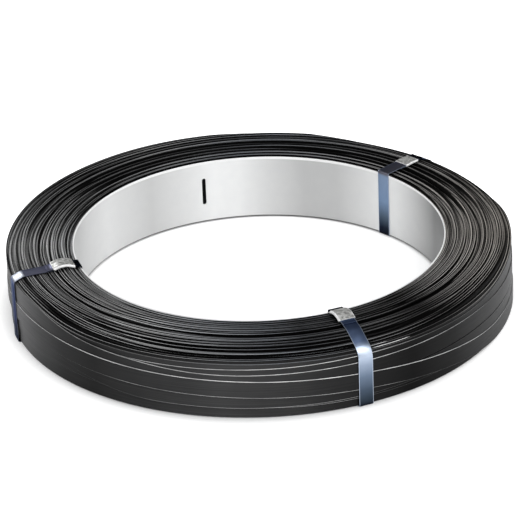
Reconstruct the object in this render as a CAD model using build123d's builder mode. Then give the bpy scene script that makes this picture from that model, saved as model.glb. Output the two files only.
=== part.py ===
from build123d import *
import os
from math import sqrt

# A coil of steel strapping, wound on a sheet-metal core and held by three tie straps.
# Lengths are in millimetres and angles in degrees, counted from +X towards +Y.
# +Z is the axis of the bore. Z = 0 is the floor, which the undersides of the tie straps touch.

# Core ring: the galvanised sheet that lines the bore, with one slot for the strap's inner end
bore_radius = 203.2
core_gauge = 1.2
core_inset = 0.8
face_width = 76.2
slot_length = 33.0
slot_width = 4.6
slot_height = 38.5
slot_angle = 107.5

# Strap winding: the outer radius follows from the strap's gauge and the layers wound on the core
strap_width = 19.0
strap_gauge = 0.8
turn_layers = 92
winding_gap = 0.1

# Packs of turns on the two ends of the winding, from the core outwards: where the pack stops,
# as a share of the winding's depth, and how far it lies below the face, as a share of the strap's width
crown_pack_shares = (
    (0.06, 0.05),
    (0.32, 0.01),
    (0.355, 0.17),
    (0.475, 0.00),
    (0.51, 0.19),
    (0.69, 0.02),
    (0.725, 0.13),
    (0.86, 0.00),
)
crown_edge_share = 0.07
foot_pack_shares = (
    (0.36, 0.00),
    (0.42, 0.15),
)
foot_edge_share = 0.0

# The last layers of strap, from inside to outside: the heights of their upper and lower edges,
# as shares of the face width. They taper to the one turn that is wound last.
last_turn_shares = (
    (0.940, 0.00),
    (0.830, 0.00),
    (0.745, 0.00),
    (0.650, 0.15),
    (0.565, 0.32),
)

# Tie straps: each is one loop of narrow strap round the section, lapped where its seal holds it
tie_width = 16.0
tie_gauge = 0.6
tie_tail = 4.0
seat_gap = 0.1
shoulder_bend = 8.0
heel_bend = 2.0
toe_bend = 1.5
rim_bend = 2.0
arch_rise = 5.5
arch_reach = 14.5
arch_bend = 24.0
landing_bend = 8.0
front_tie_angle = -67.9
left_tie_angle = -163.2
rear_tie_angle = 44.7
front_seal_set = 18.0
left_seal_set = 18.0
rear_seal_share = 0.53

# Seals: sheet sleeves folded round both layers of the tie strap, open along the middle underneath
seal_length = 26.0
seal_gauge = 0.8
seal_gap = 0.1
seal_split = 6.0
cut_overrun = 5.0

# Worked-out sizes
core_radius = bore_radius + core_gauge
winding_radius = core_radius + winding_gap
winding_depth = turn_layers * strap_gauge
coil_radius = winding_radius + winding_depth
base = tie_gauge + seat_gap
crown = base + face_width
lap_step = tie_gauge + 2 * seat_gap
bore_chord = sqrt(bore_radius**2 - (tie_width / 2) ** 2)
bore_run = bore_chord - seat_gap - tie_gauge / 2
wall_run = coil_radius + seat_gap + tie_gauge / 2
floor_run = tie_gauge / 2
crown_run = crown + seat_gap + tie_gauge / 2
landing_run = crown_run + seal_gauge + seal_gap
seal_bore_width = tie_width + 2 * seal_gap
seal_bore_height = lap_step + tie_gauge + 2 * seal_gap
seal_wide = seal_bore_width + 2 * seal_gauge
seal_high = seal_bore_height + 2 * seal_gauge

# Each tie strap's angle round the coil, and how far its seal's middle lies from the core
tie_places = {
    "front": (front_tie_angle, front_seal_set),
    "left": (left_tie_angle, left_seal_set),
    "rear": (rear_tie_angle, rear_seal_share * winding_depth),
}


def pack_radius(share):
    """Radius at a share of the winding's depth."""
    return winding_radius + share * winding_depth


def treads(edges, start_radius):
    """Outline points of a stepped end: each tread runs level out to its own radius, over equal neighbours."""
    points = []
    inner = start_radius
    for outer, height in edges:
        if points and points[-1][1] == height:
            points[-1] = (outer, height)
        else:
            points += [(inner, height), (outer, height)]
        inner = outer
    return points


def winding_end(pack_shares, edge_share, face, inward, last_edges):
    """Outline of one end, from the core outwards over the packs and the last layers of strap."""
    edges = [(pack_radius(stop), face + inward * drop * strap_width) for stop, drop in pack_shares]
    layers = len(last_turn_shares)
    edges.append((coil_radius - layers * strap_gauge, face + inward * edge_share * strap_width))
    for layer, share in enumerate(last_edges, start=1):
        edges.append((coil_radius - (layers - layer) * strap_gauge, base + share * face_width))
    return treads(edges, winding_radius)


def tie_route(seal_radius):
    """Corner points of a tie strap's middle line in its own section, from the lap's lower end to its upper."""
    lap = arch_reach + tie_tail
    lower = [
        Vector(seal_radius - lap, landing_run),
        Vector(seal_radius - arch_reach, landing_run),
        Vector(seal_radius, landing_run + arch_rise),
        Vector(seal_radius + arch_reach, landing_run),
    ]
    round_section = [
        Vector(wall_run, crown_run),
        Vector(wall_run, floor_run),
        Vector(bore_run, floor_run),
        Vector(bore_run, landing_run + lap_step),
    ]
    upper = [point + Vector(0, lap_step) for point in lower[1:]]
    upper_end = Vector(seal_radius + lap, landing_run + lap_step)
    return [*lower, *round_section, *upper, upper_end]


def seal_route(seal_radius, reach, drop):
    """Middle line of a seal: the arch of the lapped strap, out to a reach each way, moved down by a drop."""
    top = Vector(seal_radius, landing_run + arch_rise + lap_step / 2 - drop)
    slope = Vector(arch_reach, arch_rise).normalized() * reach
    return [top - slope, top, top + Vector(slope.X, -slope.Y)]


os.makedirs("parts", exist_ok=True)

# Strap winding: one turned solid, stepped on both ends where packs of turns stand proud
with BuildPart() as strap_winding:
    with BuildSketch(Plane.XZ):
        with BuildLine():
            upper_edges = [upper for upper, lower in last_turn_shares]
            lower_edges = [lower for upper, lower in last_turn_shares]
            crown_line = winding_end(crown_pack_shares, crown_edge_share, crown, -1, upper_edges)
            foot_line = winding_end(foot_pack_shares, foot_edge_share, base, 1, lower_edges)
            Polyline(*crown_line, *reversed(foot_line), close=True)
        make_face()
    revolve(axis=Axis.Z)
strap_winding.part.label = "strap_winding"
export_step(strap_winding.part, "parts/strap_winding.step")

# Core ring
with BuildPart() as core_ring:
    with BuildSketch(Plane.XY.offset(base + core_inset)):
        Circle(core_radius)
        Circle(bore_radius, mode=Mode.SUBTRACT)
    extrude(amount=face_width - 2 * core_inset)
    with BuildSketch(Plane.YZ.rotated((0, 0, slot_angle)).offset(bore_radius)):
        with Locations((0, base + slot_height)):
            SlotOverall(slot_length, slot_width, rotation=90)
    extrude(amount=cut_overrun, both=True, mode=Mode.SUBTRACT)
core_ring.part.label = "core_ring"
export_step(core_ring.part, "parts/core_ring.step")

# Tie straps and their seals
arch_bends = [landing_bend, arch_bend, landing_bend]
section_bends = [shoulder_bend, heel_bend, toe_bend, rim_bend]
for place, (angle, seal_set) in tie_places.items():
    section = Plane.XZ.rotated((0, 0, angle))
    seal_radius = winding_radius + seal_set

    with BuildPart() as tie_strap:
        with BuildSketch(section):
            with BuildLine():
                FilletPolyline(*tie_route(seal_radius), radius=arch_bends + section_bends + arch_bends)
            trace(line_width=tie_gauge)
        extrude(amount=tie_width / 2, both=True)
    tie_strap.part.label = f"tie_strap_{place}"
    export_step(tie_strap.part, f"parts/tie_strap_{place}.step")

    with BuildPart() as seal:
        with BuildSketch(section):
            with BuildLine():
                FilletPolyline(*seal_route(seal_radius, seal_length / 2, 0), radius=arch_bend)
            trace(line_width=seal_high)
        extrude(amount=seal_wide / 2, both=True)
        through = seal_length / 2 + cut_overrun
        with BuildSketch(section):
            with BuildLine():
                FilletPolyline(*seal_route(seal_radius, through, 0), radius=arch_bend)
            trace(line_width=seal_bore_height)
        extrude(amount=seal_bore_width / 2, both=True, mode=Mode.SUBTRACT)
        with BuildSketch(section):
            with BuildLine():
                FilletPolyline(*seal_route(seal_radius, through, seal_bore_height), radius=arch_bend)
            trace(line_width=seal_bore_height)
        extrude(amount=seal_split / 2, both=True, mode=Mode.SUBTRACT)
    seal.part.label = f"seal_{place}"
    export_step(seal.part, f"parts/seal_{place}.step")
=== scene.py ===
from math import atan2, cos, pi, radians, sin, tan

import bpy
import numpy as np
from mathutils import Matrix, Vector


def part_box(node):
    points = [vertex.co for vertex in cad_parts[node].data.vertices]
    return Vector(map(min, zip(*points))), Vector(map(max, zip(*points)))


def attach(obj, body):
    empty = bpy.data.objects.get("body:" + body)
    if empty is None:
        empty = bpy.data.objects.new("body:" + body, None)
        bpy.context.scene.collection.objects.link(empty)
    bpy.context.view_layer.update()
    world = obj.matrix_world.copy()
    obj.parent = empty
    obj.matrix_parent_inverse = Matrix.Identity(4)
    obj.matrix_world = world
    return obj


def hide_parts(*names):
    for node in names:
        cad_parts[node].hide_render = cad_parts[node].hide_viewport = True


# A coil of black steel strapping on a bright core, bound by three blued tie straps with folded seals.
# Lengths are in metres and angles in degrees, counted from +X towards +Y. The viewer stands on the -Y side.

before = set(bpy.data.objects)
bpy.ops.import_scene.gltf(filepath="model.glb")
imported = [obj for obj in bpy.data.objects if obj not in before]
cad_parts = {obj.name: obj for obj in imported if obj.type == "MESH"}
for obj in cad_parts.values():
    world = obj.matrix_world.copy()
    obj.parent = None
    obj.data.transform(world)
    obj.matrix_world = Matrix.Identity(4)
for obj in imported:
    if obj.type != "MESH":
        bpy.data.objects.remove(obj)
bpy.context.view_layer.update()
rng = np.random.default_rng(31)

# Winding, read from the frame
winding_low, winding_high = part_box("strap_winding")
core_low, core_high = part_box("core_ring")
base = winding_low.z
crown = winding_high.z
coil_radius = winding_high.x
core_radius = core_high.x
winding_gap = 0.0001
winding_radius = core_radius + winding_gap
turn_layers = 92
strap_gauge = (coil_radius - winding_radius) / turn_layers
strap_width = 0.019
turn_gap = 0.00004
turn_bevel = 0.0002

# Meshes: steps round a circle, the distance under which points count as one, the angles over which edges
# count as sharp, and how far up a face looks when it counts as a strap's slit edge or as a seal's top
circle_steps = 256
merge_gap = 0.00001
bevel_angle = 50
fold_angle = 60
strap_crease = 35
sheet_crease = 40
slit_tilt = 0.3
seal_top_tilt = 0.86

# Packs of turns from the core outwards: where the pack stops, as a share of the winding's depth,
# and how far it lies below the face, as a share of the strap's width
crown_pack_shares = (
    (0.06, 0.05),
    (0.32, 0.01),
    (0.355, 0.17),
    (0.475, 0.00),
    (0.51, 0.19),
    (0.69, 0.02),
    (0.725, 0.13),
    (0.86, 0.00),
    (1.00, 0.02),
)
foot_pack_shares = (
    (0.36, 0.00),
    (0.42, 0.15),
    (1.00, 0.00),
)
pack_ramp_share = 0.012
pack_wander_share = 0.016

# Turns lie in groups, proud and sunken by turns: the least and most turns in a proud group and in a sunken
# one, how far the sunken ones still stand, and how unlike the turns of a group are. Groups are narrow at
# the coil's sides and wide at its back, and here and there every second turn or so stands proud.
side_groups = ((1, 2), (2, 4), (0.28, 0.50), 0.12)
front_groups = ((1, 3), (2, 4), (0.05, 0.31), 0.14)
back_groups = ((2, 4), (4, 8), (0.0, 0.12), 0.20)
fine_groups = ((1, 1), (1, 2), (0.02, 0.20), 0.10)
proud_levels = (0.65, 1.0)

# How far the front, back and fine groups hold, by angle
front_reach = ((-165, 0.0), (-135, 0.6), (-112, 1.0), (-60, 1.0), (-42, 0.5), (-25, 0.0), (180, 0.0))
back_reach = ((10, 0.0), (34, 1.0), (130, 1.0), (162, 0.0), (180, 0.0), (-180, 0.0))
fine_reach = (
    (-164, 0.0),
    (-154, 0.9),
    (-142, 0.9),
    (-122, 0.0),
    (-54, 0.0),
    (-40, 0.75),
    (-20, 0.65),
    (0, 0.3),
    (20, 0.0),
    (180, 0.0),
)

# How the groups stray across the turns round the coil: waves round it, their lean with each turn and their
# size, and the share of the straying that is left at the front and at the back
group_shift = 8.0
group_wander = 0.8
front_wander = 0.2
wander_waves = ((5, 0.15, 1.0), (11, -0.3, 0.6))

# How far the turns drop and sway, how deep the steps between packs are at the front and at the back,
# and how much painted shade falls on turns that lie low, most at the front and back, and on the slumped
# outer turns at the rear right
sunken_drop = 0.0013
turn_drop = 0.0004
turn_sway = 0.0005
sway_shares = (0.2, 1.0)
sway_waves = (1, 5)
foot_drop = 0.0005
front_depth = 1.0
back_depth = 0.5
pack_twist = 6
sunken_shade = 0.30
ends_shade = 1.4
slump_shade = 0.6
slump_fade = 0.004
slump_shade_reach = ((-10, 0.0), (12, 0.3), (25, 1.0), (75, 1.0), (95, 0.0), (180, 0.0))

# Where the outer turns slope away: angle, and the share of the winding's depth where the slope starts.
# They have slumped most at the front and at the rear right.
slump_slope = 0.45
slump_shares = (
    (-180, 1.00),
    (-172, 0.95),
    (-166, 0.80),
    (-160, 0.80),
    (-154, 0.92),
    (-147, 0.82),
    (-139, 0.70),
    (-130, 0.66),
    (-115, 0.60),
    (-60, 0.59),
    (-40, 0.68),
    (-15, 0.88),
    (5, 0.96),
    (15, 0.86),
    (25, 0.79),
    (40, 0.77),
    (58, 0.75),
    (68, 0.79),
    (80, 0.92),
    (92, 1.00),
)

# Shoulder under the loose outer straps: heights above the base, going outwards, how bare the edges of the
# last turns are at the front, and how far the shoulder is square instead of stepped round the coil
shoulder_heights = (0.0652, 0.0646, 0.0638, 0.0629, 0.0616)
shoulder_bare = (0.25, 0.90, 0.1, 0.1, 0.65, 0.1, 0.15, 0.70, 0.1, 0.15, 0.72)
shoulder_square = (
    (-165, 1.0),
    (-150, 0.85),
    (-135, 0.35),
    (-115, 0.05),
    (-60, 0.0),
    (-30, 0.3),
    (-5, 0.8),
    (10, 0.8),
    (30, 0.5),
    (58, 0.3),
    (80, 0.7),
    (94, 1.0),
)

# Scratches on the slumped edges beside the front tie strap: which turn, counted from the outside, and the
# angles where it starts and stops
edge_scratches = ((8, -66.5, -62.0), (5, -65.5, -57.5), (3, -66.0, -61.0))

# Loose outer straps: the height of one edge above the base round the coil, and how worn that edge is
loose_layers = 3
worn_band = 0.0004
loose_bevel = 0.00018
edge_blur = 6.0
blur_steps = 9
last_turn_top = (
    (-165, 0.0482),
    (-148, 0.0494),
    (-134, 0.0478),
    (-119, 0.0459),
    (-100, 0.0438),
    (-80, 0.0407),
    (-66, 0.0377),
    (-51, 0.0305),
    (-31, 0.0207),
    (-24, 0.0192),
    (60, 0.0192),
)
second_layer_top = (
    (-176, 0.0752),
    (-168, 0.0708),
    (-158, 0.0708),
    (-152, 0.0738),
    (-147, 0.0700),
    (-139, 0.0622),
    (-129, 0.0577),
    (-119, 0.0553),
    (-109, 0.0512),
    (-97, 0.0494),
    (-80, 0.0503),
    (-56, 0.0521),
    (-36, 0.0537),
    (-15, 0.0520),
    (30, 0.0560),
    (78, 0.0620),
    (95, 0.0745),
    (120, 0.0757),
    (150, 0.0757),
)
second_layer_slack = (
    (-140, 0.0),
    (-125, 0.004),
    (-119, 0.006),
    (-108, 0.001),
    (-95, 0.0),
    (-66, 0.002),
    (0, 0.0),
)
third_layer_top = (
    (-180, 0.0555),
    (-100, 0.0560),
    (-85, 0.0565),
    (-66, 0.0589),
    (-35, 0.0590),
    (-12, 0.0690),
    (4, 0.0740),
    (14, 0.0700),
    (40, 0.0560),
    (90, 0.0540),
)
third_layer_foot = (
    (-180, 0.0195),
    (-105, 0.0135),
    (-90, 0.0112),
    (-80, 0.0092),
    (-66, 0.0088),
    (0, 0.0095),
)
last_turn_worn = ((-165, 0.8), (-90, 1.0), (-40, 0.8), (-15, 0.5))
last_foot_worn = ((-140, 0.0), (-131, 0.15), (-118, 0.75), (-70, 0.9), (-58, 0.35), (-40, 0.1))
second_top_worn = ((-160, 0.3), (-120, 0.68), (-90, 0.8), (-60, 0.75), (-40, 0.5), (-22, 0.2), (0, 0.15))
second_foot_worn = ((-130, 0.0), (-115, 0.45), (-90, 0.8), (-70, 0.8), (-62, 0.1))
third_top_worn = ((-130, 0.3), (-110, 0.78), (-66, 0.75), (-50, 0.2), (0, 0.3))
third_foot_worn = ((-92, 0.0), (-84, 0.8), (-70, 0.8), (-62, 0.1))
unworn = ((0, 0.0),)

# Core ring
core_gauge = 0.0012
core_bevel = 0.0004
core_bevel_steps = 3
slot_length = 0.033
slot_width = 0.0046
slot_height = base + 0.0385
slot_angle = 107.5
slot_sides = 32
cut_depth = 0.010

# Tie straps
tie_width = 0.016
tie_gauge = 0.0006
tie_bevel = 0.00012
tie_bevel_steps = 2
tie_tail = 0.004
seat_gap = 0.0001
tie_slumps = {"front": 0.59, "left": 0.86, "rear": 0.765}
slump_bends = {"front": 0.030, "left": 0.010, "rear": 0.008}
shoulder_bends = {"front": 0.014, "left": 0.004, "rear": 0.010}
heel_bend = 0.002
toe_bend = 0.0015
rim_bend = 0.002
arch_rises = {"front": 0.0055, "left": 0.0055, "rear": 0.0005}
arch_reach = 0.0145
arch_bend = 0.024
landing_bend = 0.008
bend_step = 9.0
least_bend_steps = 2
front_tie_angle = -67.9
left_tie_angle = -163.2
rear_tie_angle = 44.7
front_seal_set = 0.018
left_seal_set = 0.018
rear_seal_set = 0.0380

# Blue of each tie strap by height, from the floor at 0 to the crown at 1, with painted reflection and shade
# in it:
# dark towards the foot, light where the upright run faces the floor, a painted highlight at the front
# strap's bend, and the left strap shaded darker except at its top
tie_blues_with_painted_light = {
    "front": (
        (0.00, (0.008, 0.011, 0.016)),
        (0.08, (0.030, 0.042, 0.058)),
        (0.25, (0.052, 0.072, 0.104)),
        (0.45, (0.108, 0.144, 0.202)),
        (0.62, (0.225, 0.275, 0.360)),
        (0.72, (0.340, 0.400, 0.500)),
        (0.80, (0.520, 0.590, 0.700)),
        (0.84, (0.500, 0.580, 0.700)),
        (0.90, (0.130, 0.180, 0.300)),
        (1.00, (0.065, 0.092, 0.165)),
    ),
    "left": (
        (0.00, (0.004, 0.005, 0.008)),
        (0.22, (0.009, 0.010, 0.015)),
        (0.36, (0.040, 0.044, 0.066)),
        (0.85, (0.062, 0.068, 0.100)),
        (1.00, (0.250, 0.255, 0.350)),
    ),
    "rear": (
        (0.00, (0.006, 0.007, 0.010)),
        (0.12, (0.012, 0.016, 0.026)),
        (0.30, (0.065, 0.092, 0.130)),
        (0.55, (0.160, 0.232, 0.355)),
        (0.96, (0.185, 0.252, 0.370)),
        (1.00, (0.130, 0.130, 0.160)),
    ),
}

# Painted highlights along the edges of the tie straps, each in its own colour from this far off the strap's
# middle, and the radii and heights of the painted highlight at a strap's outer bend and of its painted shade
# down the rear slope and over the bore's rim
tie_edge_highlights = {"front": (0.42, 0.48, 0.58, 1), "left": (0.10, 0.11, 0.15, 1), "rear": (0.40, 0.46, 0.58, 1)}
tie_edge_highlight_band = (0.0073, 0.0077)
bend_highlight_radii = (0.2655, 0.2675)
bend_highlight_heights = (0.93, 0.955)
rear_shade_radii = (0.252, 0.256)
rim_shade_radii = (0.2165, 0.2125)
rim_shade_heights = (0.97, 0.99)

# Seals
seal_lengths = {"front": 0.026, "left": 0.026, "rear": 0.020}
seal_gauge = 0.0008
seal_gap = 0.0001
seal_split = 0.006
seal_fold = 0.0009
seal_flares = {"front": 0.0011, "left": 0.0007, "rear": 0.0}
seal_bevel = 0.00025
seal_bevel_steps = 2
seal_fold_steps = 3
seal_top_steps = 6
seal_side_steps = 2
seal_arch_steps = 8
seal_runs = 6

# Finishes: the light steel of the scratches and of the painted sheen on the shoulder's edges, depths inside
# the outer wall between which the painted shade in the grooves gives way and the painted sheen on the
# shoulder's edges sets in, how far to each side the painted colour cast of the light on the slit edges
# changes, and the bands of painted highlight along the core's upper rim and painted shadow along its foot.
# The highlight band is narrower towards the front.
bright_steel_and_sheen = (0.9, 0.9, 0.9, 1)
groove_shade_depths = (0.006, 0.004)
shoulder_sheen_depths = (0.013, 0.011)
light_cast_reach = 0.26
core_rim_highlight_band = (0.0030, 0.0024)
core_rim_highlight_narrowing = 0.0010
core_rim_highlight_places = (0.08, 0.19)
core_foot_shadow_band = (0.0010, 0.0006)

# Worked-out sizes
inner_turns = turn_layers - loose_layers
bore_radius = core_radius - core_gauge
bore_chord = (bore_radius**2 - (tie_width / 2) ** 2) ** 0.5
lap_step = tie_gauge + 2 * seat_gap
bore_run = bore_chord - seat_gap - tie_gauge / 2
wall_run = coil_radius + seat_gap + tie_gauge / 2
floor_run = tie_gauge / 2
crown_run = crown + seat_gap + tie_gauge / 2
landing_run = crown_run + seal_gauge + seal_gap
seal_wide = tie_width + 2 * seal_gap + seal_gauge
seal_high = lap_step + tie_gauge + 2 * seal_gap + seal_gauge

tie_places = {
    "front": (front_tie_angle, front_seal_set),
    "left": (left_tie_angle, left_seal_set),
    "rear": (rear_tie_angle, rear_seal_set),
}

# Camera and stage
view_distance = 3.5
view_rise = 26.54
view_roll = -2.195
view_lens = 219.0
view_shift = (0.00195, 0.00826)
aim_height = 0.0380
floor_size = 12.0

# Glow of the floor where it is seen, by radius, inside the bore and outside the coil
bore_glow = ((0.2005, 0.45), (0.204, 0.0))
outer_glow = ((0.279, 0.0), (0.288, 0.30), (0.320, 0.90))
outer_glow_squeeze = 1.05

# Light: the surround's strength from the viewer's side to the back, and each lamp's place, size and power
surround_colour = (0.98, 0.99, 1.0, 1)
surround_reach = (-0.2, 0.6)
surround_levels = (0.55, 0.16)
lamps = {
    "overhead": ((0.75, -1.0, 2.0), 1.9, 29),
    "front_right": ((1.75, -1.6, 1.0), 1.8, 11.5),
    "left_side": ((-2.2, -0.4, 1.3), 1.2, 9),
    "rear_left": ((-1.36, 1.79, 1.12), 0.9, 8),
}


# Modelling


def clear_selection():
    """Leaves nothing selected, in object mode."""
    if bpy.context.object and bpy.context.object.mode != "OBJECT":
        bpy.ops.object.mode_set(mode="OBJECT")
    bpy.ops.object.select_all(action="DESELECT")


def pick(piece):
    """Makes a piece the only one selected."""
    clear_selection()
    piece.select_set(True)
    bpy.context.view_layer.objects.active = piece


def points_of(piece):
    """The places of a mesh's vertices, as rows."""
    places = np.zeros(len(piece.data.vertices) * 3)
    piece.data.vertices.foreach_get("co", places)
    return places.reshape(-1, 3)


def move_points(piece, places):
    """Puts a mesh's vertices at the rows of places."""
    piece.data.vertices.foreach_set("co", places.ravel())
    piece.data.update()


def angles_of(places):
    """Each point's angle round the coil, in degrees."""
    return np.degrees(np.arctan2(places[:, 1], places[:, 0]))


def select_points(piece, chosen):
    """Selects vertices, and the edges between them, by a row of yes and no."""
    pick(piece)
    bpy.ops.object.mode_set(mode="EDIT")
    bpy.ops.mesh.select_mode(type="VERT")
    bpy.ops.mesh.select_all(action="DESELECT")
    bpy.ops.object.mode_set(mode="OBJECT")
    piece.data.vertices.foreach_set("select", chosen)
    ends = np.zeros(len(piece.data.edges) * 2, dtype=np.int32)
    piece.data.edges.foreach_get("vertices", ends)
    piece.data.edges.foreach_set("select", chosen[ends.reshape(-1, 2)].all(axis=1))
    bpy.ops.object.mode_set(mode="EDIT")


def add_modifier(piece, kind, **settings):
    """Adds a modifier, sets it and applies it."""
    pick(piece)
    modifier = piece.modifiers.new(kind.title(), kind)
    for name, value in settings.items():
        setattr(modifier, name, value)
    bpy.ops.object.modifier_apply(modifier=modifier.name)


def break_edges(piece, width, steps, angle):
    """Bevels the edges over an angle."""
    limit = radians(angle)
    add_modifier(piece, "BEVEL", width=width, segments=steps, limit_method="ANGLE", angle_limit=limit)


def thicken(piece, gauge, bevel, side, bevel_steps=1):
    """Gives a sheet its gauge, to one side or about its middle, and breaks its sharp edges."""
    add_modifier(piece, "SOLIDIFY", thickness=gauge, offset=side, use_even_offset=True)
    break_edges(piece, bevel, bevel_steps, bevel_angle)


def smooth(piece, angle):
    """Shades a piece smooth, with edges over the angle left sharp."""
    pick(piece)
    bpy.ops.object.shade_smooth_by_angle(angle=radians(angle))


def face_normals(piece):
    """The faces' normals, as rows."""
    normals = np.zeros(len(piece.data.polygons) * 3)
    piece.data.polygons.foreach_get("normal", normals)
    return normals.reshape(-1, 3)


def outward_side(piece):
    """The side of an open wall that lies away from the bore: 1 where its normals point, -1 behind them."""
    outward = face_normals(piece)[0] @ np.array(piece.data.polygons[0].center)
    return 1 if outward > 0 else -1


def finish_piece(piece, nodes, materials, second_faces=None):
    """Gives a piece its materials, body, slot and the CAD nodes that it stands for."""
    for material in materials:
        piece.data.materials.append(material)
    if second_faces is not None:
        piece.data.polygons.foreach_set("material_index", second_faces.astype(np.int32))
    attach(piece, "root")
    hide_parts(*nodes)


def hoop_wall(name, radius, levels):
    """Open wall of one turn: a circle drawn up through its levels."""
    clear_selection()
    bpy.ops.mesh.primitive_circle_add(vertices=circle_steps, radius=radius, location=(0, 0, 0))
    hoop = bpy.context.object
    hoop.name = name
    bpy.ops.object.mode_set(mode="EDIT")
    bpy.ops.mesh.select_all(action="SELECT")
    bpy.ops.transform.translate(value=(0, 0, levels[0]))
    for lower, upper in zip(levels, levels[1:]):
        bpy.ops.mesh.extrude_region_move(TRANSFORM_OT_translate={"value": (0, 0, upper - lower)})
    bpy.ops.object.mode_set(mode="OBJECT")
    return hoop


def copy_outwards(hoop, radii):
    """Copies a turn's wall outwards in edit mode, one copy to each further radius."""
    pick(hoop)
    bpy.ops.object.mode_set(mode="EDIT")
    bpy.ops.mesh.select_all(action="SELECT")
    for inner, outer in zip(radii, radii[1:]):
        bpy.ops.mesh.duplicate()
        bpy.ops.transform.resize(value=(outer / inner, outer / inner, 1), center_override=(0, 0, 0))
    bpy.ops.object.mode_set(mode="OBJECT")


def join(pieces, name):
    """Joins pieces into the first, under one name."""
    clear_selection()
    for piece in pieces:
        piece.select_set(True)
    bpy.context.view_layer.objects.active = pieces[0]
    bpy.ops.object.join()
    pieces[0].name = name
    return pieces[0]


# Winding


def pack_drop(pack_shares, share):
    """How far the packs at shares of the depth lie inside the face, with a short ramp between packs."""
    stops = [0.0] + [stop for stop, drop in pack_shares]
    places, drops = [], []
    for start, (stop, drop) in zip(stops, pack_shares):
        places += [start + pack_ramp_share / 2, stop - pack_ramp_share / 2]
        drops += [drop, drop]
    return np.interp(share, places, drops) * strap_width


def round_coil(knots, around):
    """A value round the coil: straight between given knots, then blurred so that no knot shows."""
    angles, values = np.array(knots).T
    shifts = np.linspace(-edge_blur, edge_blur, blur_steps)
    return np.mean([np.interp(around + shift, angles, values, period=360) for shift in shifts], axis=0)


def grouped(proud_counts, sunken_counts, sunken_levels, spread):
    """How proud each inner turn stands, from 0 to 1, when the turns lie in groups of the given counts."""
    row = np.zeros(inner_turns)
    turn = 0
    proud = True
    while turn < inner_turns:
        least, most = proud_counts if proud else sunken_counts
        count = int(rng.integers(least, most + 1))
        row[turn : turn + count] = rng.uniform(*(proud_levels if proud else sunken_levels))
        turn += count
        proud = not proud
    return np.clip(row + rng.uniform(-spread, spread, inner_turns), 0, 1)


def wound_turn_rows():
    """For each inner turn: how proud it stands at the sides, front, back and in the fine places, then its
    own drop, rise, sway, waves and where they start, and how far its groups are shifted."""
    rows = [grouped(*counts) for counts in (side_groups, front_groups, back_groups, fine_groups)]
    wander = [
        rng.uniform(0.0, turn_drop, inner_turns),
        rng.uniform(0.0, foot_drop, inner_turns),
        rng.uniform(*sway_shares, inner_turns) * turn_sway,
        rng.integers(*sway_waves, inner_turns),
        rng.uniform(0, 2 * pi, inner_turns),
        rng.uniform(-group_shift, group_shift, inner_turns),
    ]
    return np.array(rows + wander).T


def set_value(piece, name, values):
    """Keeps one number for each vertex, for the finish to read."""
    layer = piece.data.attributes.new(name, "FLOAT", "POINT")
    layer.data.foreach_set("value", values.astype(np.float32))


def slump_start(around):
    """Radius where the outer turns start to slope away."""
    return winding_radius + round_coil(slump_shares, around) * (coil_radius - winding_radius)


def proud_turns(rows, turns, degrees):
    """How proud each point's turn stands, from 0 to 1, as groups give way to others round the coil."""
    around = np.radians(degrees)
    fine, shift = rows[turns, 3], rows[turns, -1]
    stray = sum(size * np.sin(count * around + lean * turns) for count, lean, size in wander_waves)
    stray *= group_wander * (front_wander + (1 - front_wander) * np.cos(around) ** 2)
    proud, front, back = [np.interp(turns + stray, np.arange(inner_turns), row) for row in rows[:, :3].T]
    for other, reach in ((front, front_reach), (back, back_reach), (fine, fine_reach)):
        proud += round_coil(reach, degrees + shift) * (other - proud)
    return proud


def last_turns(values, turns):
    """Each point's value from a row for the last inner turns, and whether its turn is one of them."""
    step = turns - (inner_turns - len(values))
    return np.array(values)[np.maximum(step, 0)], step >= 0


def sway_turns(piece, rows):
    """Moves the upper and lower edge of each turn's wall to its own height, which sways round the coil,
    and keeps how bare and how scratched the edge is, with the painted shade on sunken and slumped turns
    kept along with the bareness."""
    places = points_of(piece)
    radii = np.hypot(places[:, 0], places[:, 1])
    turns = np.rint((radii - winding_radius) / strap_gauge).astype(int)
    degrees = angles_of(places)
    around = np.radians(degrees)
    drop, rise, sway, waves, start = rows[turns, 4:-1].T
    proud = proud_turns(rows, turns, degrees)
    swing = sway * (0.5 + 0.5 * np.sin(waves * around + start))
    middle = (turns + 0.5) / turn_layers
    share = middle + pack_wander_share * np.sin(around + pack_twist * turns / turn_layers)
    depth = (front_depth + back_depth) / 2 - (front_depth - back_depth) / 2 * np.sin(around)
    top = crown - depth * pack_drop(crown_pack_shares, share) - (1 - proud) * sunken_drop - drop - swing
    slumped = np.maximum(0, radii - slump_start(degrees))
    top = np.minimum(top, crown - slump_slope * slumped - (1 - proud) * sunken_drop - drop / 2)
    square = round_coil(shoulder_square, degrees)
    heights, on_shoulder = last_turns(shoulder_heights, turns)
    heights += base
    stepped = heights + square * (np.minimum(top, crown - turn_drop) - heights)
    top = np.where(on_shoulder, np.minimum(stepped, top), top)
    foot = base + pack_drop(foot_pack_shares, middle) + rise + swing / 2
    is_top = places[:, 2] > (base + crown) / 2
    places[:, 2] = np.where(is_top, top, foot)
    move_points(piece, places)
    bared, near_outside = last_turns(shoulder_bare, turns)
    bare_and_shade = np.where(near_outside, bared + square * (proud - bared), proud)
    # Painted shade: sunken turns darker at the front and back, and slumped outer turns darker at the rear
    # right.
    bare_and_shade -= sunken_shade * (1 - bare_and_shade) * np.minimum(1, ends_shade * np.abs(np.sin(around)))
    bare_and_shade -= slump_shade * np.minimum(1, slumped / slump_fade) * round_coil(slump_shade_reach, degrees)
    set_value(piece, "bare_and_shade", bare_and_shade)
    scratch = np.zeros(len(places))
    for outside, first, last in edge_scratches:
        scratch[(turns == turn_layers - outside) & (degrees > first) & (degrees < last)] = 1.0
    set_value(piece, "scratch", scratch)


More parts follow.
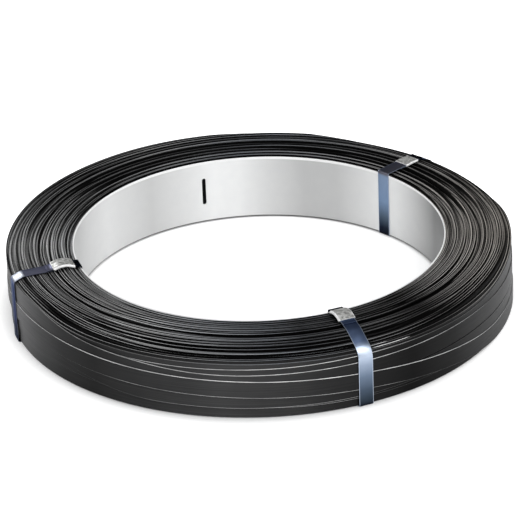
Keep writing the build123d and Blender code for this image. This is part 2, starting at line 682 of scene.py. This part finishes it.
def wound_turns(name, first, last, rows, materials):
    """A run of full-width turns, each a closed strap with its edges broken."""
    radii = [winding_radius + turn * strap_gauge for turn in range(first, last)]
    turns = hoop_wall(name, radii[0], (base, crown))
    copy_outwards(turns, radii)
    sway_turns(turns, rows)
    pick(turns)
    bpy.ops.object.mode_set(mode="EDIT")
    bpy.ops.mesh.select_all(action="SELECT")
    bpy.ops.mesh.normals_make_consistent(inside=False)
    bpy.ops.object.mode_set(mode="OBJECT")
    thicken(turns, strap_gauge - turn_gap, turn_bevel, outward_side(turns))
    smooth(turns, strap_crease)
    slit = np.abs(face_normals(turns)[:, 2]) > slit_tilt
    finish_piece(turns, ["strap_winding"], materials, slit)


def loose_strap(name, layer, foot_height, top_worn, foot_worn):
    """One strap of a loose outer layer, with narrow worn bands along its edges."""
    radius = coil_radius - layer * strap_gauge
    strap = hoop_wall(name, radius, (0, worn_band, strap_width - worn_band, strap_width))
    places = points_of(strap)
    degrees = angles_of(places)
    upper = places[:, 2] > strap_width / 2
    set_value(strap, "bare_and_shade", np.where(upper, round_coil(top_worn, degrees), round_coil(foot_worn, degrees)))
    centres = np.array([polygon.center.z for polygon in strap.data.polygons])
    bands = np.abs(centres - strap_width / 2) > strap_width / 2 - worn_band
    places[:, 2] += base + foot_height(degrees)
    move_points(strap, places)
    strap.data.polygons.foreach_set("material_index", bands.astype(np.int32))
    return strap


def second_foot(around):
    """Lower edge of the second layer's lower strap, a little slack below the upper strap."""
    return round_coil(second_layer_top, around) - 2 * strap_width - round_coil(second_layer_slack, around)


def third_foot(around):
    """Lower edge of the third layer's lower strap."""
    return round_coil(third_layer_foot, around)


def under(knots):
    """Lower edge of a strap whose upper edge is given."""
    return lambda around: round_coil(knots, around) - strap_width


def loose_straps(materials):
    """The last straps wound, one turn on two on two, each lying at its own slant."""
    straps = [
        loose_strap("last_turn", 1, under(last_turn_top), last_turn_worn, last_foot_worn),
        loose_strap("second_upper", 2, under(second_layer_top), second_top_worn, unworn),
        loose_strap("second_lower", 2, second_foot, unworn, second_foot_worn),
        loose_strap("third_upper", 3, under(third_layer_top), third_top_worn, unworn),
        loose_strap("third_lower", 3, third_foot, unworn, third_foot_worn),
    ]
    for strap in straps:
        for material in materials:
            strap.data.materials.append(material)
    joined = join(straps, "loose_straps")
    thicken(joined, strap_gauge - turn_gap, loose_bevel, outward_side(joined))
    smooth(joined, strap_crease)
    finish_piece(joined, ["strap_winding"], [])


# Core ring


def slot_cutter():
    """Rounded bar that cuts the slot: a cylinder along the radius, drawn out to the slot's length."""
    clear_selection()
    bpy.ops.mesh.primitive_cylinder_add(vertices=slot_sides, radius=slot_width / 2, depth=cut_depth)
    cutter = bpy.context.object
    cutter.rotation_euler = (0, pi / 2, 0)
    bpy.ops.object.transform_apply(rotation=True)
    places = points_of(cutter)
    places[:, 2] += np.sign(places[:, 2] - merge_gap) * (slot_length - slot_width) / 2
    places[:, 0] += bore_radius
    places[:, 2] += slot_height
    move_points(cutter, places)
    cutter.rotation_euler = (0, 0, radians(slot_angle))
    bpy.ops.object.transform_apply(rotation=True)
    return cutter


def core_sheet(materials):
    """The sheet ring that lines the bore, with its upright slot and rounded rims."""
    core = hoop_wall("core_sheet", bore_radius, (core_low.z, core_high.z))
    thicken(core, core_gauge, core_bevel, outward_side(core), core_bevel_steps)
    cutter = slot_cutter()
    add_modifier(core, "BOOLEAN", operation="DIFFERENCE", object=cutter, solver="EXACT")
    bpy.data.objects.remove(cutter)
    smooth(core, sheet_crease)
    finish_piece(core, ["core_ring"], materials)


# Tie straps and seals


def strip_along(name, width, route, bends):
    """A strip as wide as given that follows a route in the XZ plane: a plane for its first run, then
    its end edge is extruded along each run and spun round each bend."""
    runs = [after - before for before, after in zip(route, route[1:])]
    turns = [runs[i].xz.angle_signed(runs[i + 1].xz) * -1 for i in range(len(bends))]
    cuts = [0] + [bend * tan(abs(turn) / 2) for bend, turn in zip(bends, turns)] + [0]
    first = runs[0].length - cuts[1]
    clear_selection()
    bpy.ops.mesh.primitive_plane_add(size=width, location=(0, 0, 0))
    strip = bpy.context.object
    strip.name = name
    places = points_of(strip)
    along = runs[0].normalized()
    start = route[0]
    share = np.where(places[:, 0] > 0, first, 0)
    places[:, 0] = start.x + share * along.x
    places[:, 2] = start.z + share * along.z
    move_points(strip, places)
    end = start + along * first
    near_end = np.hypot(places[:, 0] - end.x, places[:, 2] - end.z) < merge_gap
    select_points(strip, near_end)
    for index, (bend, turn) in enumerate(zip(bends, turns)):
        heading = runs[index].normalized()
        side = Vector((-heading.z, 0, heading.x)) * (1 if turn > 0 else -1)
        steps = max(least_bend_steps, round(abs(turn) / radians(bend_step)))
        bpy.ops.mesh.spin(steps=steps, angle=turn, center=end + side * bend, axis=(0, 1, 0))
        length = runs[index + 1].length - cuts[index + 1] - cuts[index + 2]
        onward = runs[index + 1].normalized()
        leave = route[index + 1] + onward * cuts[index + 1]
        bpy.ops.mesh.extrude_region_move(TRANSFORM_OT_translate={"value": onward * length})
        end = leave + onward * length
    bpy.ops.mesh.select_all(action="SELECT")
    bpy.ops.mesh.remove_doubles(threshold=merge_gap)
    bpy.ops.mesh.normals_make_consistent(inside=False)
    bpy.ops.object.mode_set(mode="OBJECT")
    return strip


def turn_about_axis(piece, angle):
    """Turns a piece round the bore's axis and keeps its object at the origin."""
    pick(piece)
    piece.rotation_euler = (0, 0, radians(angle))
    bpy.ops.object.transform_apply(rotation=True)


def tie_route(place, seal_radius):
    """Corner points of a tie strap's middle line, from the lap's lower end to its upper end."""
    lap = arch_reach + tie_tail
    slump = winding_radius + tie_slumps[place] * (coil_radius - winding_radius)
    lower = [
        (seal_radius - lap, landing_run),
        (seal_radius - arch_reach, landing_run),
        (seal_radius, landing_run + arch_rises[place]),
        (seal_radius + arch_reach, landing_run),
    ]
    round_section = [
        (slump, crown_run),
        (wall_run, crown_run - slump_slope * (wall_run - slump)),
        (wall_run, floor_run),
        (bore_run, floor_run),
        (bore_run, landing_run + lap_step),
    ]
    upper = [(x, z + lap_step) for x, z in lower[1:]]
    upper_end = (seal_radius + lap, landing_run + lap_step)
    return [Vector((x, 0, z)) for x, z in [*lower, *round_section, *upper, upper_end]]


def tie_strap(place, angle, seal_radius, materials):
    """One loop of narrow strap round the section, lapped under its seal."""
    arch_bends = [landing_bend, arch_bend, landing_bend]
    shoulder = [slump_bends[place], shoulder_bends[place]]
    bends = [*arch_bends, *shoulder, heel_bend, toe_bend, rim_bend, *arch_bends]
    strap = strip_along(f"tie_band_{place}", tie_width, tie_route(place, seal_radius), bends)
    thicken(strap, tie_gauge, tie_bevel, 0, tie_bevel_steps)
    turn_about_axis(strap, angle)
    smooth(strap, sheet_crease)
    finish_piece(strap, [f"tie_strap_{place}"], materials)


def seal_section(place):
    """Middle line of a seal's fold, across the strap, from split to split. Its sides may flare downwards."""
    half = seal_wide / 2
    foot = half + seal_flares[place]
    return [
        Vector((0, -seal_split / 2, -seal_high)),
        Vector((0, -foot, -seal_high)),
        Vector((0, -half, 0)),
        Vector((0, half, 0)),
        Vector((0, foot, -seal_high)),
        Vector((0, seal_split / 2, -seal_high)),
    ]


def seal_cover(place, angle, seal_radius, materials):
    """A folded sheet seal: its section is drawn across the strap, then swept over the arch."""
    clear_selection()
    bpy.ops.mesh.primitive_plane_add(size=seal_split)
    seal = bpy.context.object
    seal.name = f"seal_cover_{place}"
    bpy.ops.object.mode_set(mode="EDIT")
    bpy.ops.mesh.merge(type="CENTER")
    section = seal_section(place)
    bend = arch_bend + seal_high / 2
    slope = atan2(arch_rises[place], arch_reach)
    peak = Vector((seal_radius, 0, landing_run + arch_rises[place] + lap_step / 2 + seal_high / 2))
    cut = bend * tan(slope)
    run = seal_lengths[place] / 2
    rise = Vector((cos(slope), 0, sin(slope)))
    fall = Vector((cos(slope), 0, -sin(slope)))
    start = peak - rise * run
    bpy.ops.transform.translate(value=start + section[0])
    for before, after in zip(section, section[1:]):
        steps = seal_top_steps if abs(after.y - before.y) > seal_wide / 2 else seal_side_steps
        for step in range(steps):
            bpy.ops.mesh.extrude_region_move(TRANSFORM_OT_translate={"value": (after - before) / steps})
    bpy.ops.mesh.select_all(action="SELECT")
    for step in range(seal_runs):
        bpy.ops.mesh.extrude_region_move(TRANSFORM_OT_translate={"value": rise * (run - cut) / seal_runs})
    bend_start = peak - rise * cut
    centre = bend_start + Vector((sin(slope), 0, -cos(slope))) * bend
    bpy.ops.mesh.spin(steps=seal_arch_steps, angle=-2 * slope, center=centre, axis=(0, 1, 0))
    for step in range(seal_runs):
        bpy.ops.mesh.extrude_region_move(TRANSFORM_OT_translate={"value": fall * (run - cut) / seal_runs})
    bpy.ops.mesh.select_all(action="SELECT")
    bpy.ops.mesh.remove_doubles(threshold=merge_gap)
    bpy.ops.mesh.normals_make_consistent(inside=False)
    bpy.ops.object.mode_set(mode="OBJECT")
    break_edges(seal, seal_fold, seal_fold_steps, fold_angle)
    thicken(seal, seal_gauge, seal_bevel, 0, seal_bevel_steps)
    turn_about_axis(seal, angle)
    smooth(seal, sheet_crease)
    # Faces of the seal's sides and folds, which get the painted highlight.
    rim_highlight = face_normals(seal)[:, 2] < seal_top_tilt
    finish_piece(seal, [f"seal_{place}"], materials, rim_highlight)


# Finishes


class Finish:
    """A node material, with short calls for the nodes that its finish needs."""

    def __init__(self, name, **sockets):
        self.material = bpy.data.materials.new(name)
        self.material.use_nodes = True
        self.nodes = self.material.node_tree.nodes
        self.shader = self.nodes["Principled BSDF"]
        for socket, value in sockets.items():
            self.shader.inputs[socket.replace("_", " ")].default_value = value
        self.place = self.add("ShaderNodeTexCoord").outputs["Object"]

    def add(self, kind, **settings):
        """Adds a node and sets it."""
        node = self.nodes.new(kind)
        for name, value in settings.items():
            setattr(node, name, value)
        return node

    def put(self, socket, value):
        """Links an output to a socket, or sets the socket to a plain value."""
        if isinstance(value, bpy.types.NodeSocket):
            self.material.node_tree.links.new(value, socket)
        else:
            socket.default_value = value

    def math(self, operation, *values):
        """One step of arithmetic on outputs and plain values."""
        node = self.add("ShaderNodeMath", operation=operation)
        for socket, value in zip(node.inputs, values):
            self.put(socket, value)
        return node.outputs[0]

    def axis(self, name):
        """One coordinate of the place on the piece."""
        node = self.add("ShaderNodeSeparateXYZ")
        self.put(node.inputs[0], self.place)
        return node.outputs[name]

    def radius(self):
        """Distance from the bore's axis."""
        across = self.math("POWER", self.axis("X"), 2.0)
        deep = self.math("POWER", self.axis("Y"), 2.0)
        return self.math("SQRT", self.math("ADD", across, deep))

    def angle(self):
        """Angle round the coil in degrees."""
        return self.math("DEGREES", self.math("ARCTAN2", self.axis("Y"), self.axis("X")))

    def value(self, name):
        """A number kept on the piece's vertices."""
        return self.add("ShaderNodeAttribute", attribute_name=name).outputs["Fac"]

    def tone(self, *knots):
        """A grey that changes round the coil, from listed angles and greys."""
        turn = self.span(self.angle(), -180.0, 180.0)
        return self.ramp(turn, *[((angle + 180) / 360, grey) for angle, grey in knots])

    def along_strap(self, along, across):
        """Coordinates that follow the strap round the coil: slow along it, and across it as given."""
        flat = self.add("ShaderNodeCombineXYZ")
        self.put(flat.inputs[0], self.axis("X"))
        self.put(flat.inputs[1], self.axis("Y"))
        unit = self.add("ShaderNodeVectorMath", operation="NORMALIZE")
        self.put(unit.inputs[0], flat.outputs[0])
        slow = self.add("ShaderNodeVectorMath", operation="SCALE")
        self.put(slow.inputs[0], unit.outputs[0])
        self.put(slow.inputs["Scale"], along)
        lift = self.add("ShaderNodeCombineXYZ")
        self.put(lift.inputs[2], across)
        total = self.add("ShaderNodeVectorMath", operation="ADD")
        self.put(total.inputs[0], slow.outputs[0])
        self.put(total.inputs[1], lift.outputs[0])
        return total.outputs[0]

    def noise(self, vector, scale, detail):
        """Soft noise, from 0 to 1."""
        node = self.add("ShaderNodeTexNoise")
        self.put(node.inputs["Vector"], vector)
        node.inputs["Scale"].default_value = scale
        node.inputs["Detail"].default_value = detail
        return node.outputs["Fac"]

    def ramp(self, factor, *stops):
        """Colour along a row of stops, each a place from 0 to 1 and a colour or grey."""
        node = self.add("ShaderNodeValToRGB")
        elements = node.color_ramp.elements
        while len(elements) < len(stops):
            elements.new(0.5)
        for element, (place, colour) in zip(elements, stops):
            element.position = place
            grey = isinstance(colour, float)
            element.color = (colour, colour, colour, 1) if grey else (*colour, 1)
        self.put(node.inputs[0], factor)
        return node.outputs[0]

    def span(self, value, low, high, to_low=0.0, to_high=1.0):
        """A value's place between two ends, held inside them."""
        node = self.add("ShaderNodeMapRange")
        for socket, number in zip(node.inputs, (value, low, high, to_low, to_high)):
            self.put(socket, number)
        return node.outputs[0]

    def mix(self, factor, first, second, blend="MIX"):
        """Blend of two colours."""
        node = self.add("ShaderNodeMix", data_type="RGBA", blend_type=blend)
        self.put(node.inputs["Factor"], factor)
        self.put(node.inputs[6], first)
        self.put(node.inputs[7], second)
        return node.outputs[2]

    def shade(self, colour, *shades):
        """A colour darkened by one shade after another."""
        for shade in shades:
            colour = self.mix(1.0, colour, shade, "MULTIPLY")
        return colour

    def bump(self, height, distance):
        """Fine relief on the surface, as deep as the distance."""
        node = self.add("ShaderNodeBump")
        node.inputs["Strength"].default_value = 1.0
        node.inputs["Distance"].default_value = distance
        self.put(node.inputs["Height"], height)
        self.put(self.shader.inputs["Normal"], node.outputs[0])

    def set(self, **sockets):
        """Links or sets the shader's sockets, and gives the material."""
        for socket, value in sockets.items():
            self.put(self.shader.inputs[socket.replace("_", " ")], value)
        return self.material


def black_face():
    """Waxed black paint on the strap's faces, streaked along the strap, with painted light and shade round
    the coil and painted shade in the grooves inside the outer wall.
    """
    finish = Finish("black_strap_face", Metallic=0.0, Specular_IOR_Level=0.06)
    across = finish.math("MULTIPLY", finish.axis("Z"), 900.0)
    streak = finish.noise(finish.along_strap(2.5, across), scale=1.0, detail=3.0)
    patch = finish.noise(finish.place, scale=14.0, detail=3.0)
    even = finish.math("ADD", finish.math("MULTIPLY", streak, 0.5), finish.math("MULTIPLY", patch, 0.5))
    paint = finish.ramp(
        even,
        (0.30, (0.100, 0.100, 0.102)),
        (0.55, (0.145, 0.145, 0.147)),
        (0.75, (0.195, 0.193, 0.190)),
    )
    # Painted light and shade round the coil: the faces brightest towards the left and the right, dark round
    # the front.
    painted_wall_light = finish.tone(
        (-180, 0.70),
        (-170, 0.72),
        (-158, 1.0),
        (-148, 0.46),
        (-140, 0.19),
        (-130, 0.12),
        (-116, 0.26),
        (-98, 0.38),
        (-84, 0.24),
        (-70, 0.13),
        (-56, 0.025),
        (-44, 0.10),
        (-30, 0.37),
        (-20, 0.58),
        (-12, 0.74),
        (180, 0.70),
    )
    # Painted shade in the grooves: faces more than a few millimetres inside the outer wall go nearly black.
    dark, clear = [coil_radius - depth for depth in groove_shade_depths]
    deep = finish.span(finish.radius(), dark, clear, 0.02, 1.0)
    finish.bump(streak, 0.00004)
    colour = finish.shade(paint, painted_wall_light, deep)
    return finish.set(Base_Color=colour, Roughness=finish.span(patch, 0.3, 0.7, 0.50, 0.62))


def slit_edge():
    """Slit edges of the turns on the coil's ends: proud ones rubbed bare, sunken ones black and darkened
    further by painted shade, under a painted sheen round the coil, a painted sheen on the shoulder's edges
    and a painted colour cast of the light.
    """
    finish = Finish("slit_strap_edge", Specular_IOR_Level=0.02)
    across = finish.math("MULTIPLY", finish.radius(), 420.0)
    drift = finish.noise(finish.along_strap(2.2, across), scale=1.0, detail=2.0)
    speck = finish.noise(finish.place, scale=420.0, detail=2.0)
    grain = finish.math("ADD", finish.math("MULTIPLY", drift, 0.75), finish.math("MULTIPLY", speck, 0.25))
    spread = finish.math("MULTIPLY", finish.math("SUBTRACT", grain, 0.5), 0.6)
    bare_and_shade = finish.math("ADD", finish.value("bare_and_shade"), spread)
    steel = finish.ramp(bare_and_shade, (0.15, 0.002), (0.40, 0.030), (0.65, 0.340), (1.0, 0.950))
    # Painted sheen round the coil: the edges bright at the left and right sides, dark at the front and the
    # back.
    painted_sheen = finish.tone(
        (-180, 1.0),
        (-165, 1.0),
        (-144, 0.56),
        (-128, 1.0),
        (-112, 0.65),
        (-96, 0.31),
        (-80, 0.085),
        (-48, 0.155),
        (-32, 0.72),
        (-16, 0.97),
        (0, 0.90),
        (16, 0.83),
        (32, 0.46),
        (64, 0.38),
        (80, 0.29),
        (96, 0.20),
        (128, 0.27),
        (144, 0.38),
        (160, 0.40),
        (172, 0.70),
        (180, 1.0),
    )
    # Painted sheen on the shoulder's edges at the front, where the edges turn light steel.
    shoulder = finish.math(
        "MULTIPLY",
        finish.span(finish.radius(), *[coil_radius - depth for depth in shoulder_sheen_depths]),
        finish.tone((-150, 0.0), (-130, 1.0), (-95, 0.9), (-75, 0.45), (-62, 0.3), (-45, 0.15), (-20, 0.0)),
    )
    painted_sheen = finish.mix(shoulder, painted_sheen, bright_steel_and_sheen)
    # A painted colour cast of the light: neutral at the far left, bluish at the front and back, warm at the
    # right.
    beside = finish.math("MULTIPLY", finish.math("ABSOLUTE", finish.axis("Y")), 0.5)
    side = finish.span(finish.math("SUBTRACT", finish.axis("X"), beside), -light_cast_reach, light_cast_reach)
    painted_light_cast = finish.ramp(
        side,
        (0.05, (1.0, 1.0, 1.0)),
        (0.27, (0.87, 0.92, 1.0)),
        (0.50, (0.95, 0.95, 0.97)),
        (1.00, (1.0, 0.93, 0.85)),
    )
    scratched = finish.mix(finish.value("scratch"), finish.shade(steel, painted_sheen, painted_light_cast), bright_steel_and_sheen)
    return finish.set(
        Base_Color=scratched,
        Metallic=finish.span(bare_and_shade, 0.4, 0.9, 0.0, 0.6),
        Roughness=finish.span(grain, 0.3, 0.7, 0.55, 0.40),
    )


def worn_edge():
    """Burnished edges of the loose outer straps, where the paint is rubbed off."""
    finish = Finish("worn_strap_edge", Metallic=0.6)
    across = finish.math("MULTIPLY", finish.axis("Z"), 60.0)
    rub = finish.noise(finish.along_strap(9.0, across), scale=1.0, detail=3.0)
    worn = finish.math("MULTIPLY", finish.value("bare_and_shade"), finish.span(rub, 0.25, 0.6, 0.55, 1.0))
    colour = finish.ramp(worn, (0.0, 0.016), (0.3, 0.10), (0.7, 0.55), (1.0, 0.90))
    return finish.set(Base_Color=colour, Roughness=finish.span(rub, 0.3, 0.7, 0.5, 0.38))


def core_zinc():
    """Galvanised sheet with soft upright bands of painted sheen, a painted highlight along its upper rim, a
    painted shadow along its foot, and a little darker towards the foot.
    """
    finish = Finish("galvanised_core")
    spangle = finish.noise(finish.place, scale=90.0, detail=3.0)
    height = finish.axis("Z")
    narrow = finish.span(finish.axis("Y"), *core_rim_highlight_places, -core_rim_highlight_narrowing, 0.0)
    sheet = finish.ramp(spangle, (0.35, (0.945, 0.95, 0.95)), (0.65, (0.965, 0.97, 0.965)))
    # Painted sheen: soft upright bands of reflection round the ring.
    painted_sheen = finish.tone(
        (-160, 0.60),
        (0, 0.15),
        (15, 0.21),
        (23, 0.45),
        (31, 0.69),
        (39, 0.92),
        (48, 0.91),
        (63, 0.60),
        (74, 0.57),
        (86, 0.75),
        (96, 0.95),
        (104, 0.98),
        (112, 0.84),
        (127, 0.64),
        (136, 0.74),
        (147, 0.83),
        (158, 0.73),
        (170, 0.59),
    )
    # A little darker towards the foot.
    level = finish.span(height, core_low.z, core_high.z, 0.94, 1.0)
    lit = finish.shade(sheet, painted_sheen, level)
    # Painted highlight along the upper rim, narrower towards the front.
    rim_highlight = finish.span(finish.math("ADD", height, narrow), *[core_high.z - depth for depth in core_rim_highlight_band])
    # Painted shadow: a thin dark line along the foot.
    foot = finish.span(height, *[core_low.z + depth for depth in core_foot_shadow_band])
    colour = finish.mix(foot, finish.mix(rim_highlight, lit, (0.97, 0.97, 0.97, 1)), (0.10, 0.10, 0.10, 1))
    finish.bump(spangle, 0.00001)
    return finish.set(
        Base_Color=colour,
        Metallic=finish.span(rim_highlight, 0.0, 1.0, 0.2, 0.0),
        Roughness=finish.span(rim_highlight, 0.0, 1.0, 0.45, 0.3),
    )


def blued_face(place, angle):
    """Blued steel of one tie strap: its blue runs with height and carries painted reflection and shade, with
    a painted highlight on its bend and edges, and painted shade over the bore's rim or down the rear slope.
    """
    finish = Finish(f"blued_tie_{place}", Metallic=0.9, Specular_Tint=(0.25, 0.30, 0.42, 1))
    height = finish.span(finish.axis("Z"), 0.0, crown)
    drawn = finish.noise(finish.place, scale=160.0, detail=3.0)
    # The blue by height carries painted reflection and shade.
    blue_with_painted_light = finish.ramp(height, *tie_blues_with_painted_light[place])
    blued = finish.mix(0.12, blue_with_painted_light, finish.ramp(drawn, (0.35, 0.55), (0.65, 1.0)), "MULTIPLY")
    # Painted highlight in pale steel blue at the outer end of the top run, where it bends down.
    bend_highlight = finish.math(
        "MULTIPLY", finish.span(finish.radius(), *bend_highlight_radii), finish.span(height, *bend_highlight_heights)
    )
    colour = finish.mix(bend_highlight, blued, (0.78, 0.82, 0.90, 1))
    # Painted highlights along the strap's edges, in each strap's own colour.
    east = finish.math("MULTIPLY", finish.axis("X"), -sin(radians(angle)))
    north = finish.math("MULTIPLY", finish.axis("Y"), cos(radians(angle)))
    edge_highlight = finish.span(finish.math("ABSOLUTE", finish.math("ADD", east, north)), *tie_edge_highlight_band)
    colour = finish.mix(edge_highlight, colour, tie_edge_highlights[place])
    # Painted shade: the rear strap goes black beyond the start of its slope, the others where they run over
    # the bore's rim.
    if place == "rear":
        painted_shade = finish.span(finish.radius(), *rear_shade_radii)
    else:
        painted_shade = finish.math(
            "MULTIPLY", finish.span(finish.radius(), *rim_shade_radii), finish.span(height, *rim_shade_heights)
        )
    finish.bump(drawn, 0.00001)
    return finish.set(
        Base_Color=finish.mix(painted_shade, colour, (0.006, 0.008, 0.012, 1)),
        Roughness=finish.span(drawn, 0.3, 0.7, 0.28, 0.36),
    )


def seal_rim_highlight():
    """Pale cut and folded edges of the seals, painted near white as a highlight."""
    finish = Finish("painted_seal_rim_highlight", Metallic=0.0)
    rub = finish.noise(finish.place, scale=300.0, detail=2.0)
    colour = finish.ramp(rub, (0.28, (0.70, 0.70, 0.70)), (0.45, (0.97, 0.97, 0.97)))
    return finish.set(Base_Color=colour, Roughness=finish.span(rub, 0.3, 0.7, 0.4, 0.25))


def seal_zinc():
    """Scuffed galvanised sheet of the seals, blotchy where it was crimped."""
    finish = Finish("galvanised_seal", Metallic=0.6)
    blotch = finish.noise(finish.place, scale=260.0, detail=4.0)
    colour = finish.ramp(
        blotch, (0.34, (0.26, 0.26, 0.25)), (0.5, (0.56, 0.56, 0.54)), (0.66, (0.84, 0.84, 0.83))
    )
    finish.bump(blotch, 0.0002)
    return finish.set(Base_Color=colour, Roughness=finish.span(blotch, 0.3, 0.7, 0.5, 0.34))


# Stage


def pale_floor():
    """Pale floor that keeps the coil's shadow, and shows as plain white further out."""
    clear_selection()
    bpy.ops.mesh.primitive_plane_add(size=floor_size)
    floor = bpy.context.object
    floor.name = "floor"
    finish = Finish("pale_floor")
    finish.nodes.remove(finish.shader)
    matt = finish.add("ShaderNodeBsdfDiffuse")
    matt.inputs["Color"].default_value = (0.84, 0.84, 0.84, 1)
    light_path = finish.add("ShaderNodeLightPath")
    seen = finish.math("MAXIMUM", light_path.outputs["Is Camera Ray"], light_path.outputs["Is Glossy Ray"])
    shown = finish.math("MAXIMUM", seen, light_path.outputs["Is Transmission Ray"])
    inside = finish.ramp(finish.radius(), *bore_glow)
    wide = finish.math("POWER", finish.math("MULTIPLY", finish.axis("X"), outer_glow_squeeze), 2.0)
    deep = finish.math("POWER", finish.axis("Y"), 2.0)
    reach = finish.math("SQRT", finish.math("ADD", wide, deep))
    outside = finish.ramp(reach, *outer_glow)
    glow = finish.add("ShaderNodeEmission")
    finish.put(glow.inputs["Strength"], finish.math("MULTIPLY", shown, finish.math("ADD", inside, outside)))
    total = finish.add("ShaderNodeAddShader")
    finish.put(total.inputs[0], matt.outputs[0])
    finish.put(total.inputs[1], glow.outputs[0])
    finish.put(finish.nodes["Material Output"].inputs["Surface"], total.outputs[0])
    floor.data.materials.append(finish.material)


def add_lamp(name, place, size, power):
    """A square soft lamp that shines from a place towards the coil's middle."""
    lamp = bpy.data.lights.new(name, "AREA")
    lamp.size = size
    lamp.energy = power
    holder = bpy.data.objects.new(name, lamp)
    bpy.context.scene.collection.objects.link(holder)
    holder.location = place
    holder.rotation_euler = (-holder.location).to_track_quat("-Z", "Y").to_euler()


def studio():
    """Soft grey surround that is darker behind, a wide lamp overhead, and softer ones round the coil."""
    world = bpy.data.worlds.new("studio")
    bpy.context.scene.world = world
    world.use_nodes = True
    nodes, links = world.node_tree.nodes, world.node_tree.links
    surround = nodes["Background"]
    surround.inputs["Color"].default_value = surround_colour
    outward = nodes.new("ShaderNodeTexCoord").outputs["Generated"]
    parts = nodes.new("ShaderNodeSeparateXYZ")
    fade = nodes.new("ShaderNodeMapRange")
    for socket, number in zip(list(fade.inputs)[1:5], (*surround_reach, *surround_levels)):
        socket.default_value = number
    links.new(outward, parts.inputs[0])
    links.new(parts.outputs["Y"], fade.inputs[0])
    links.new(fade.outputs[0], surround.inputs["Strength"])
    for name, lamp in lamps.items():
        add_lamp(name, *lamp)


def viewer():
    """The camera at the photograph's viewing angle."""
    camera = bpy.data.cameras.new("viewer")
    camera.lens = view_lens
    camera.shift_x, camera.shift_y = view_shift
    holder = bpy.data.objects.new("viewer", camera)
    bpy.context.scene.collection.objects.link(holder)
    rise = radians(view_rise)
    holder.location = (0, -view_distance * cos(rise), aim_height + view_distance * sin(rise))
    aim = Vector((0, 0, aim_height)) - holder.location
    holder.rotation_euler = aim.to_track_quat("-Z", "Y").to_euler()
    holder.rotation_euler.rotate_axis("Z", radians(view_roll))
    bpy.context.scene.camera = holder


# Build


strap_finishes = [black_face(), slit_edge()]
turn_rows = wound_turn_rows()
third = inner_turns // 3
wound_turns("turns_inner", 0, third, turn_rows, strap_finishes)
wound_turns("turns_middle", third, 2 * third, turn_rows, strap_finishes)
wound_turns("turns_outer", 2 * third, inner_turns, turn_rows, strap_finishes)
loose_straps([strap_finishes[0], worn_edge()])
core_sheet([core_zinc()])
seal_finishes = [seal_zinc(), seal_rim_highlight()]
for place, (angle, seal_set) in tie_places.items():
    seal_radius = winding_radius + seal_set
    tie_strap(place, angle, seal_radius, [blued_face(place, angle)])
    seal_cover(place, angle, seal_radius, seal_finishes)

pale_floor()
studio()
viewer()
bpy.context.scene.view_settings.view_transform = "Standard"
